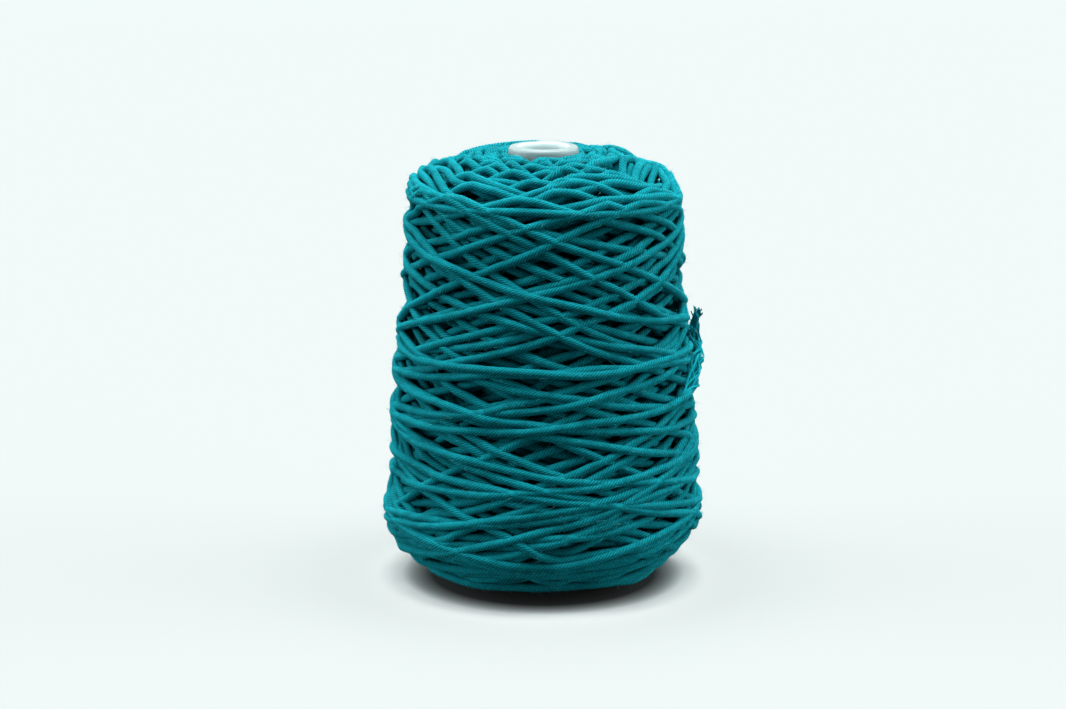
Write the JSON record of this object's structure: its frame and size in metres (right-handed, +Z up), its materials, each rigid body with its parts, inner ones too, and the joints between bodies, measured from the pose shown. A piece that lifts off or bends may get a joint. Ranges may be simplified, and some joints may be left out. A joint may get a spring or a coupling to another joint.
{
  "type": "yarn cone",
  "caption": "Plied yarn cross-wound on a hollow tapered plastic cone core, standing on its base rim, with a short loose frayed end at one side.",
  "frame": {"origin": "centre of the core's base rim, in the plane that the cone stands on", "axes": "+Z up the core's axis, from the base to the nose; +X towards the side where the loose end leaves the package; -Y towards the viewer of the front"},
  "size_m": [0.1238, 0.1204, 0.17],
  "materials": {
    "core_plastic": "translucent white moulded polypropylene, satin",
    "yarn": "soft plied yarn, teal, matte with a slight sheen",
    "yarn_ply": "loose single plies of the same teal yarn"
  },
  "bodies": {
    "root": {"cone_core": "core_plastic", "wound_body": "yarn", "last_course": "yarn", "loose_end": "yarn", "frayed_plies": "yarn_ply"}
  },
  "joints": []
}
